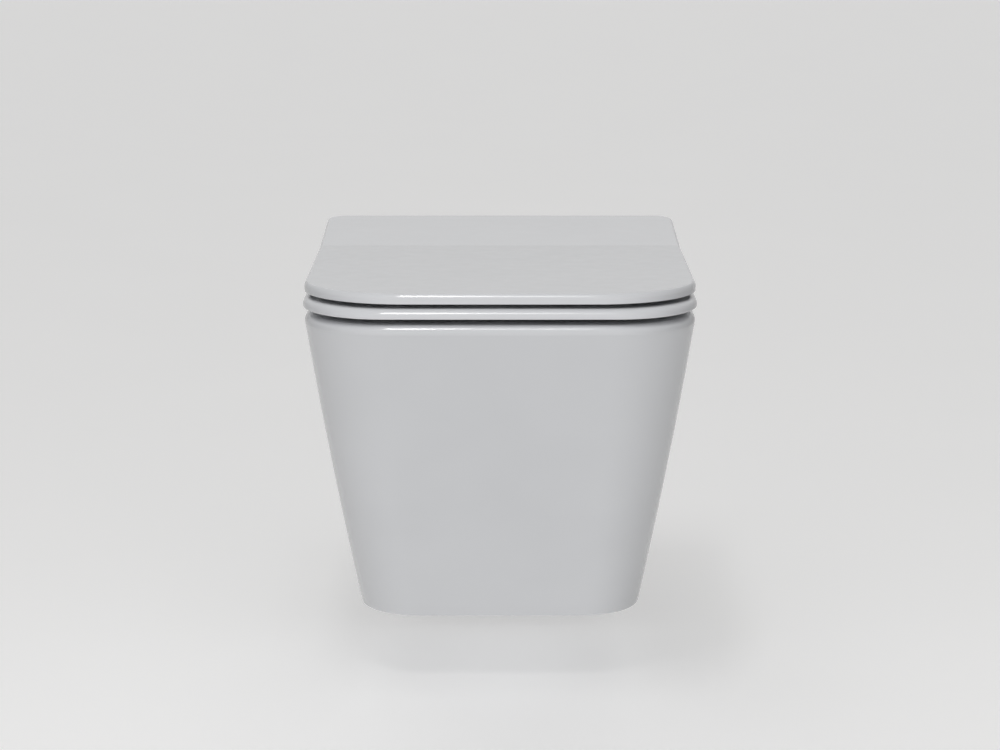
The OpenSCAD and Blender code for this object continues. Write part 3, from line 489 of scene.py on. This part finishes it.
def make_pan():
    front, back = BOWL_BACK - BOWL_T, BOWL_BACK - BOWL_T - CHAMBER_DEEP
    low, high = SHELF_FOOT - CHAMBER_DROP, SHELF_FOOT + PORT_H + CHAMBER_RISE
    outlet, inlet = (0, 0, -OUTLET_H), (0, 0, INLET_H)
    outlet_end, inlet_end = -RECESS - OUTLET_LEN, -RECESS - INLET_LEN
    pan = join(walls(), bowl_outside(), *trapway(TRAP_BORE / 2 + TRAP_T))
    join(
        pan,
        rod("spigot", OUTLET_D / 2, outlet, 1, outlet_end - OUTLET_T, -RECESS),
        rod("inlet", INLET_BORE / 2 + INLET_T, inlet, 1, -front, -RECESS),
        block(
            "chamber",
            (-CHAMBER_HALF - BOWL_T, -front - BOWL_T / 2, low - BOWL_T),
            (CHAMBER_HALF + BOWL_T, -back + BOWL_T, RIM_H - DECK_T / 2),
        ),
    )
    cut(pan, bowl_inside(), *trapway(TRAP_BORE / 2))
    cut(
        pan,
        rod("spigot_bore", OUTLET_D / 2 - OUTLET_T, outlet, 1, outlet_end, 2 * OVER),
        rod("inlet_bore", INLET_BORE / 2, inlet, 1, inlet_end, 2 * OVER),
        rod("flush_bore", FLUSH_BORE / 2, inlet, 1, -back - OVER, inlet_end + OVER),
        block("chamber_room", (-CHAMBER_HALF, -front, low), (CHAMBER_HALF, -back, high)),
        block(
            "low_port",
            (-PORT_W / 2, -BOWL_BACK - 2 * BOWL_T, low),
            (PORT_W / 2, -front + OVER, low + PORT_H),
        ),
    )
    for side in (-1, 1):
        port_x = sorted((side * (CHAMBER_HALF - PORT_W), side * CHAMBER_HALF))
        hole_x = sorted((side * (PAN_W / 2 - 4 * CHINA_T), side * (PAN_W / 2 + OVER)))
        seat_hole = (side * HINGE_GAP / 2, -HINGE_Y, 0)
        cut(
            pan,
            block(
                "side_port",
                (port_x[0], -BOWL_BACK - BOWL_T, SHELF_FOOT),
                (port_x[1], -front + OVER, SHELF_FOOT + PORT_H),
            ),
            rod("seat_hole", SEAT_HOLE / 2, seat_hole, 2, RIM_H - 2 * DECK_T, RIM_H + OVER),
            rod("side_hole", SIDE_HOLE / 2, (0, -SIDE_Y, 0), 0, *hole_x),
        )
    cut(pan, block("wall_cut", (-PAN_W, 0, -UNDER_H - OVER), (PAN_W, WALL_CUT, RIM_H + OVER)))
    return finish_surface(pan)


# Lid

LID_FRONT_TOP = LID_BOTTOM + LID_EDGE
CREASE_TOP = LID_FRONT_TOP + FRONT_RISE
REAR_SLOPE = (AXIS_H + AXIS_ROOM + LID_SKIN - CREASE_TOP) / (CREASE_Y - AXIS_Y)
FRONT_SLOPE = FRONT_RISE / (LID_D - CREASE_Y)


def lid_top(y):
    """Height of the lid's upper face, which bends smoothly at the crease."""
    u, bend = y + CREASE_Y, CREASE_SOFT / 2
    if u < -bend:
        return CREASE_TOP + u * FRONT_SLOPE
    if u > bend:
        return CREASE_TOP + u * REAR_SLOPE
    return CREASE_TOP + u * FRONT_SLOPE + (REAR_SLOPE - FRONT_SLOPE) * (u + bend) ** 2 / (4 * bend)


def lid_foot(y):
    """Height of the turned-down edge's foot, which rises near the back."""
    t = (y + LID_BACK + LIP_RUN) / (LIP_RUN - LID_CORNER / 2)
    return mix(LID_BOTTOM, lid_top(-LID_BACK) - LID_SKIN - LIP_END, ease(t))


def lid_ring(inset, share, rise):
    """Ring at the edge's foot, at share 0, or at the upper face, at share 1, moved in and up."""
    half = LID_W / 2 - inset
    curve = front_part(half, LID_D - inset, LID_FRONT[0] - inset, LID_FRONT[1] - inset)
    crease = CREASE_Y + CREASE_SOFT / 2, CREASE_Y - CREASE_SOFT / 2
    stops = steps(curve[-1][1], -crease[0], SIDE_N)[1:]
    stops += steps(-crease[0], -crease[1], CREASE_N)[1:]
    stops += steps(-crease[1], -LID_BACK - LID_CORNER, SIDE_N)[1:-1]
    back = back_part(half, LID_BACK + inset, LID_CORNER - inset)
    outline = curve + [(half, y) for y in stops] + back
    return ring(outline, lambda y: mix(lid_foot(y), lid_top(y), share) + rise)


def lip_profile():
    """(inset, share, rise) round the lid's edge, from its lower face to its upper face."""
    quarter = steps(0, 90, SOFT_N)
    section = []
    for t in quarter:
        inset, drop = LIP_CORNER * (1 - sine(t)), LIP_CORNER * (1 - cosine(t))
        section.append((LID_LIP + inset, 1, -LID_SKIN - drop))
    foot = [(LIP_SOFT * (1 - cosine(t)), 0, LIP_SOFT * (1 - sine(t))) for t in quarter]
    section += [(LID_LIP - inset, share, rise) for inset, share, rise in foot] + foot[::-1]
    for t in steps(0, 90, EDGE_N):
        inset = LID_ROUND[0] * (1 - cosine(t) ** LID_BLEND)
        section.append((inset, 1, -LID_ROUND[1] * (1 - sine(t) ** LID_BLEND)))
    return section


# Places on the hinge axis: damper, cradle and outer lug. The seat's damper and the lid's lug are on
# the right, and the other two are mirrored
AT_AXIS = (0, -AXIS_Y, AXIS_H)
DAMPER_OUT = BLOCK_IN - LUG_GAP
DAMPER_IN = DAMPER_OUT - DAMPER_LEN
CRADLE_IN, CRADLE_R = DAMPER_IN - CRADLE_END, DAMPER_R + CRADLE_T
LUG_IN = BLOCK_OUT + LUG_GAP
LUG_OUT = LUG_IN + LUG_W


def make_lid():
    lid = loft("lid_shell", [lid_ring(*row) for row in lip_profile()])
    skin_middle = AXIS_H + AXIS_ROOM + LID_SKIN / 2
    join(
        lid,
        rod("lug", LUG_R, AT_AXIS, 0, LUG_IN, LUG_OUT),
        block(
            "lug_web",
            (LUG_IN, -AXIS_Y - LUG_R, AXIS_H),
            (LUG_OUT, -AXIS_Y + LUG_R, skin_middle),
        ),
        rod("cradle", CRADLE_R, AT_AXIS, 0, -DAMPER_OUT, -CRADLE_IN),
        block(
            "cradle_web",
            (-DAMPER_OUT, -AXIS_Y - WEB_R, AXIS_H),
            (-CRADLE_IN, -AXIS_Y + WEB_R, skin_middle),
        ),
    )
    cut(
        lid,
        rod("lug_bore", BUSH_R, AT_AXIS, 0, LUG_IN - OVER, LUG_OUT + OVER),
        rod("cradle_bore", DAMPER_R, AT_AXIS, 0, -DAMPER_OUT - OVER, -DAMPER_IN),
    )
    return finish_surface(lid)


# Seat ring


def seat_outline(inset):
    half = SEAT_W / 2 - inset
    curve = front_part(half, SEAT_D - inset, SEAT_FRONT[0] - inset, SEAT_FRONT[1] - inset)
    back = back_part(half, SEAT_BACK + inset, SEAT_CORNER - inset)
    sides = [(half, y) for y in steps(curve[-1][1], back[0][1], 2 * SIDE_N)[1:-1]]
    return curve + sides + back


def hole_outline(inset, count):
    out = HOLE_W / 2 + inset, HOLE_FRONT + inset, HOLE_BACK - inset
    return oval_half(*out, *HOLE_SQUARE, count - 1)


def hump_height(y):
    """Height of the bridge behind the hole, which rises to just under the lid."""
    share = (y + HUMP_FRONT) / (HUMP_FRONT - SEAT_BACK)
    return mix(SEAT_TOP, lid_top(y) - LID_SKIN - HUMP_GAP, ease(share * HUMP_SLOPE))


def make_hump():
    half, corner, back = SEAT_W / 2 - HUMP_SIDE, SEAT_CORNER - HUMP_SIDE, SEAT_BACK + HUMP_IN
    outline = [(x, -HUMP_FRONT) for x in steps(0, half, HUMP_N)[:-1]]
    outline += [(half, y) for y in steps(-HUMP_FRONT, -back - corner, SIDE_N)]
    outline += back_part(half, back, corner)[1:]
    hump = loft("hump", [ring(outline, SEAT_BOTTOM + HUMP_IN), ring(outline, hump_height)])
    return bevel(hump, HUMP_ROUND, HUMP_ROUND_N, HUMP_ANGLE)


def seat_rings():
    """Rings round the seat's section, from its outer lower edge over the top to the hole's."""
    count = len(seat_outline(0))
    rings = []
    for t in steps(0, 90, SOFT_N):
        outline = seat_outline(SEAT_SOFT * (1 - sine(t)))
        rings.append(ring(outline, SEAT_BOTTOM + SEAT_SOFT * (1 - cosine(t))))
    for t in steps(0, 90, EDGE_N):
        outline = seat_outline(SEAT_ROUND * (1 - cosine(t)))
        rings.append(ring(outline, SEAT_TOP - SEAT_ROUND * (1 - sine(t))))
    for t in steps(90, 0, FILLET_N):
        outline = hole_outline(SEAT_INNER * (1 - cosine(t)), count)
        rings.append(ring(outline, SEAT_TOP - SEAT_INNER * (1 - sine(t))))
    for t in steps(90, 0, SOFT_N):
        outline = hole_outline(SEAT_SOFT * (1 - sine(t)), count)
        rings.append(ring(outline, SEAT_BOTTOM + SEAT_SOFT * (1 - cosine(t))))
    return rings


def make_seat():
    seat = band("seat_ring_shell", seat_rings())
    arm_low, arm_high = AXIS_H - WEB_LOW, AXIS_H + WEB_HIGH
    join(
        seat,
        make_hump(),
        rod("lug", LUG_R, AT_AXIS, 0, -LUG_OUT, -LUG_IN),
        block("lug_arm", (-LUG_OUT, -NOTCH_FRONT - OVER, arm_low), (-LUG_IN, -AXIS_Y, arm_high)),
        rod("cradle", CRADLE_R, AT_AXIS, 0, CRADLE_IN, DAMPER_OUT),
        block(
            "cradle_arm",
            (CRADLE_IN, -SEAT_BACK - ARM_RUN, arm_low),
            (DAMPER_OUT, -AXIS_Y, arm_high),
        ),
    )
    for side in (-1, 1):
        x = sorted((side * (BLOCK_IN - NOTCH_GAP), side * (BLOCK_OUT + NOTCH_GAP)))
        low = (x[0], -NOTCH_FRONT, SEAT_BOTTOM - OVER)
        cut(seat, block("notch", low, (x[1], 0, AXIS_H + 3 * LUG_R)))
    cut(
        seat,
        rod("lug_bore", BUSH_R, AT_AXIS, 0, -LUG_OUT - OVER, -LUG_IN + OVER),
        rod("cradle_bore", DAMPER_R, AT_AXIS, 0, DAMPER_IN, DAMPER_OUT + OVER),
        rod("lid_room", CRADLE_R + LID_ROOM, AT_AXIS, 0, -DAMPER_OUT - OVER, -CRADLE_IN + LID_ROOM),
    )
    return finish_surface(seat)


# Materials

NOISE_SPAN = 0.3, 0.7  # part of a noise texture's range that covers the whole swing of a value
GRAIN, GRAIN_DEPTH = 700, 0.02  # scale of grain and tool marks, and depth of moulded grain
MOULDED_DARK, MOULDED_LIGHT, MOULDED_LIFT = 0.9, 1.12, 0.004  # swing of a moulded piece's colour
MOULDED_SWING, METAL_SWING = (0.85, 1.15), (0.7, 1.3)  # of roughness, as shares of its middle value


def material(name, colour, roughness, **sockets):
    """Node material with a Principled shader. Returns it with its tree and shader."""
    made = bpy.data.materials.new(name)
    made.use_nodes = True
    tree = made.node_tree
    shader = tree.nodes["Principled BSDF"]
    shader.inputs["Base Color"].default_value = (*colour, 1)
    shader.inputs["Roughness"].default_value = roughness
    for socket, value in sockets.items():
        shader.inputs[socket.replace("_", " ")].default_value = value
    return made, tree, shader


def noise(tree, scale, detail=2.0, stretch=(1, 1, 1)):
    own = tree.nodes.new("ShaderNodeTexCoord")
    sized = tree.nodes.new("ShaderNodeMapping")
    sized.inputs["Scale"].default_value = stretch
    texture = tree.nodes.new("ShaderNodeTexNoise")
    texture.inputs["Scale"].default_value = scale
    texture.inputs["Detail"].default_value = detail
    tree.links.new(own.outputs["Object"], sized.inputs["Vector"])
    tree.links.new(sized.outputs["Vector"], texture.inputs["Vector"])
    return texture


def spread(tree, source, span, levels, smooth=False):
    """Maps a value from one span onto a span of levels."""
    made = tree.nodes.new("ShaderNodeMapRange")
    if smooth:
        made.interpolation_type = "SMOOTHSTEP"
    for socket, value in zip(("From Min", "From Max", "To Min", "To Max"), (*span, *levels)):
        made.inputs[socket].default_value = value
    tree.links.new(source, made.inputs["Value"])
    return made.outputs["Result"]


def vary_colour(tree, shader, source, low, high):
    ramp = tree.nodes.new("ShaderNodeValToRGB")
    for element, position, colour in zip(ramp.color_ramp.elements, NOISE_SPAN, (low, high)):
        element.position = position
        element.color = (*colour, 1)
    tree.links.new(source.outputs["Fac"], ramp.inputs["Fac"])
    tree.links.new(ramp.outputs["Color"], shader.inputs["Base Color"])


def vary_roughness(tree, shader, source, low, high):
    varied = spread(tree, source.outputs["Fac"], NOISE_SPAN, (low, high))
    tree.links.new(varied, shader.inputs["Roughness"])


def add_bump(tree, shader, source, depth):
    """Bump from a noise texture. depth is in millimetres."""
    bump = tree.nodes.new("ShaderNodeBump")
    bump.inputs["Strength"].default_value = 1
    bump.inputs["Distance"].default_value = depth * MM
    tree.links.new(source.outputs["Fac"], bump.inputs["Height"])
    tree.links.new(bump.outputs["Normal"], shader.inputs["Normal"])


def glaze():
    made, tree, shader = material("glazed_china", (0.72, 0.725, 0.735), 0.09, IOR=1.54)
    vary_colour(tree, shader, noise(tree, 9), (0.706, 0.714, 0.732), (0.728, 0.736, 0.754))
    vary_roughness(tree, shader, noise(tree, 34, 3), 0.07, 0.11)
    add_bump(tree, shader, noise(tree, 26, 1), 0.012)
    return made


def polished_plastic():
    made, tree, shader = material("polished_duroplast", (0.75, 0.755, 0.765), 0.14, IOR=1.55)
    vary_colour(tree, shader, noise(tree, 14), (0.736, 0.744, 0.764), (0.750, 0.758, 0.777))
    vary_roughness(tree, shader, noise(tree, 60, 3), 0.12, 0.17)
    add_bump(tree, shader, noise(tree, 480, 1), 0.0015)
    return made


def moulded(name, colour, roughness):
    """Finely grained plastic or rubber."""
    made, tree, shader = material(name, colour, roughness)
    light = tuple(c * MOULDED_LIGHT + MOULDED_LIFT for c in colour)
    dark = tuple(c * MOULDED_DARK for c in colour)
    vary_colour(tree, shader, noise(tree, 120), dark, light)
    vary_roughness(tree, shader, noise(tree, 90, 3), *(roughness * s for s in MOULDED_SWING))
    add_bump(tree, shader, noise(tree, GRAIN), GRAIN_DEPTH)
    return made


def metal(name, colour, roughness, stretch, depth):
    """Metal with tool marks, which stretch packs closer along an axis. depth is in millimetres."""
    made, tree, shader = material(name, colour, roughness, Metallic=1.0)
    marks = noise(tree, 220, 3, stretch)
    vary_roughness(tree, shader, marks, *(roughness * s for s in METAL_SWING))
    add_bump(tree, shader, noise(tree, GRAIN, 2, stretch), depth)
    return made


def dress(piece, finish):
    piece.data.materials.clear()
    piece.data.materials.append(finish)
    for face in piece.data.polygons:
        face.material_index = 0


def place(piece, body, slot, finish, *nodes):
    """Dresses a piece, fixes it to its body and puts it in place of the CAD's nodes."""
    dress(piece, finish)
    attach(piece, body)
    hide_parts(*nodes)


# Lights, floor and camera


def angular_size(degrees):
    """Size of what fills an angle as seen from the distance of the strip lights."""
    return STRIP_FAR * 2 * math.tan(math.radians(degrees / 2))


def strip_light(name, turn, width, radiance):
    """Narrow light high in front, whose reflection runs along the front edges."""
    data = bpy.data.lights.new(name, "AREA")
    data.shape = "RECTANGLE"
    data.size, data.size_y = angular_size(width), angular_size(STRIP_TALL)
    data.energy = radiance * math.pi * data.size * data.size_y
    out = STRIP_FAR * cosine(STRIP_RISE)
    away = Vector((out * sine(turn), -out * cosine(turn), STRIP_FAR * sine(STRIP_RISE)))
    lamp = bpy.data.objects.new(name, data)
    lamp.location = Vector((0, -SEAT_D, SEAT_TOP)) * MM + away
    lamp.rotation_euler = (-away).to_track_quat("-Z", "Y").to_euler()
    bpy.context.scene.collection.objects.link(lamp)


def seen_directly(tree):
    """1 for what the camera sees, itself or in a reflection, and 0 for light that bounces off."""
    rays = tree.nodes.new("ShaderNodeLightPath")
    total = rays.outputs["Is Camera Ray"]
    for kind in ("Is Glossy Ray", "Is Transmission Ray"):
        either = tree.nodes.new("ShaderNodeMath")
        either.operation = "MAXIMUM"
        tree.links.new(total, either.inputs[0])
        tree.links.new(rays.outputs[kind], either.inputs[1])
        total = either.outputs["Value"]
    return total


def make_floor():
    """Pale floor that takes the object's shadow. Diffuse and shadow rays pass it by, and it glows a
    little for what sees it directly."""
    signs = (-1, -1), (1, -1), (1, 1), (-1, 1)
    corners = [(x * FLOOR_REACH, y * FLOOR_REACH, FLOOR_Z) for x, y in signs]
    floor = new_object("floor", corners, [(0, 1, 2, 3)])
    finish, tree, shader = material("floor_paint", FLOOR_PAINT, 0.9, Emission_Color=(1, 1, 1, 1))
    vary_roughness(tree, shader, noise(tree, 3), 0.85, 0.95)
    glow = tree.nodes.new("ShaderNodeMath")
    glow.operation = "MULTIPLY"
    glow.inputs[1].default_value = FLOOR_GLOW
    tree.links.new(seen_directly(tree), glow.inputs[0])
    tree.links.new(glow.outputs["Value"], shader.inputs["Emission Strength"])
    dress(floor, finish)
    floor.visible_diffuse = False
    floor.visible_shadow = False


def level_ramp(tree, source, stops):
    """Grey level for a direction's part, which runs from -1 to 1."""
    ramp = tree.nodes.new("ShaderNodeValToRGB")
    ramp.color_ramp.interpolation = "EASE"
    while len(ramp.color_ramp.elements) < len(stops):
        ramp.color_ramp.elements.new(1)
    for element, (position, level) in zip(ramp.color_ramp.elements, stops):
        element.position = position
        element.color = (level, level, level, 1)
    tree.links.new(spread(tree, source, (-1, 1), (0, 1)), ramp.inputs["Fac"])
    return ramp.outputs["Color"]


def make_world():
    """Sky that lights the object, its level a product of three, and a backdrop in its place for
    what sees the world directly."""
    world = bpy.data.worlds.new("studio")
    bpy.context.scene.world = world
    world.use_nodes = True
    tree = world.node_tree
    direction = tree.nodes.new("ShaderNodeTexCoord")
    parts = tree.nodes.new("ShaderNodeSeparateXYZ")
    level = tree.nodes.new("ShaderNodeMath")
    level.operation = "MULTIPLY"
    light = tree.nodes["Background"]
    backdrop = tree.nodes.new("ShaderNodeBackground")
    either = tree.nodes.new("ShaderNodeMixShader")
    tree.links.new(direction.outputs["Generated"], parts.inputs["Vector"])
    tree.links.new(level_ramp(tree, parts.outputs["X"], SKY_ACROSS), light.inputs["Color"])
    tree.links.new(level_ramp(tree, parts.outputs["Z"], SKY_UP), level.inputs[0])
    depth = spread(tree, parts.outputs["Y"], SKY_DEPTH_SPAN, SKY_DEPTH, smooth=True)
    tree.links.new(depth, level.inputs[1])
    tree.links.new(level.outputs["Value"], light.inputs["Strength"])
    seen = spread(tree, parts.outputs["Z"], BACKDROP_SPAN, BACKDROP, smooth=True)
    tree.links.new(seen, backdrop.inputs["Color"])
    tree.links.new(seen_directly(tree), either.inputs[0])
    tree.links.new(light.outputs["Background"], either.inputs[1])
    tree.links.new(backdrop.outputs["Background"], either.inputs[2])
    tree.links.new(either.outputs["Shader"], tree.nodes["World Output"].inputs["Surface"])


def make_camera():
    data = bpy.data.cameras.new("camera")
    data.lens = LENS
    data.sensor_width = SENSOR
    camera = bpy.data.objects.new("camera", data)
    camera.location = CAMERA_AT
    camera.rotation_euler = (math.radians(90 - CAMERA_PITCH), 0, 0)
    bpy.context.scene.collection.objects.link(camera)
    bpy.context.scene.camera = camera


make_camera()
make_floor()
make_world()
for strip, shape in STRIPS.items():
    strip_light(strip, *shape)
bpy.context.scene.view_settings.view_transform = "Standard"

GLAZE, DUROPLAST = glaze(), polished_plastic()
place(make_pan(), "pan", "china", GLAZE, "pan", "bowl", "trapway", "inlet_tube")
place(make_lid(), "lid", "duroplast", DUROPLAST, "lid")
place(make_seat(), "seat", "duroplast", DUROPLAST, "seat_ring")

# The CAD's own pieces that stay in view, with a finish for each material slot
CARRIED = {
    "china": GLAZE,
    "duroplast": DUROPLAST,
    "soft_white": moulded("soft_pad", (0.72, 0.73, 0.74), 0.45),
    "plug_rubber": moulded("plug_rubber", (0.028, 0.028, 0.028), 0.75),
    "plated_zinc": metal("plated_zinc", (0.78, 0.79, 0.80), 0.12, (1, 1, 1), 0.004),
    "steel": metal("turned_steel", (0.58, 0.58, 0.585), 0.28, (1, 1, 12), 0.01),
    "black_nylon": moulded("black_nylon", (0.022, 0.022, 0.024), 0.5),
    "grey_nylon": moulded("grey_nylon", (0.36, 0.365, 0.375), 0.42),
}
SLOT_OF = {row["node"]: row["material_slot"] for row in frame["record"]["subparts"]}
for node, piece in frame["nodes"].items():
    if not piece.hide_render:
        dress(piece, CARRIED[SLOT_OF[node]])
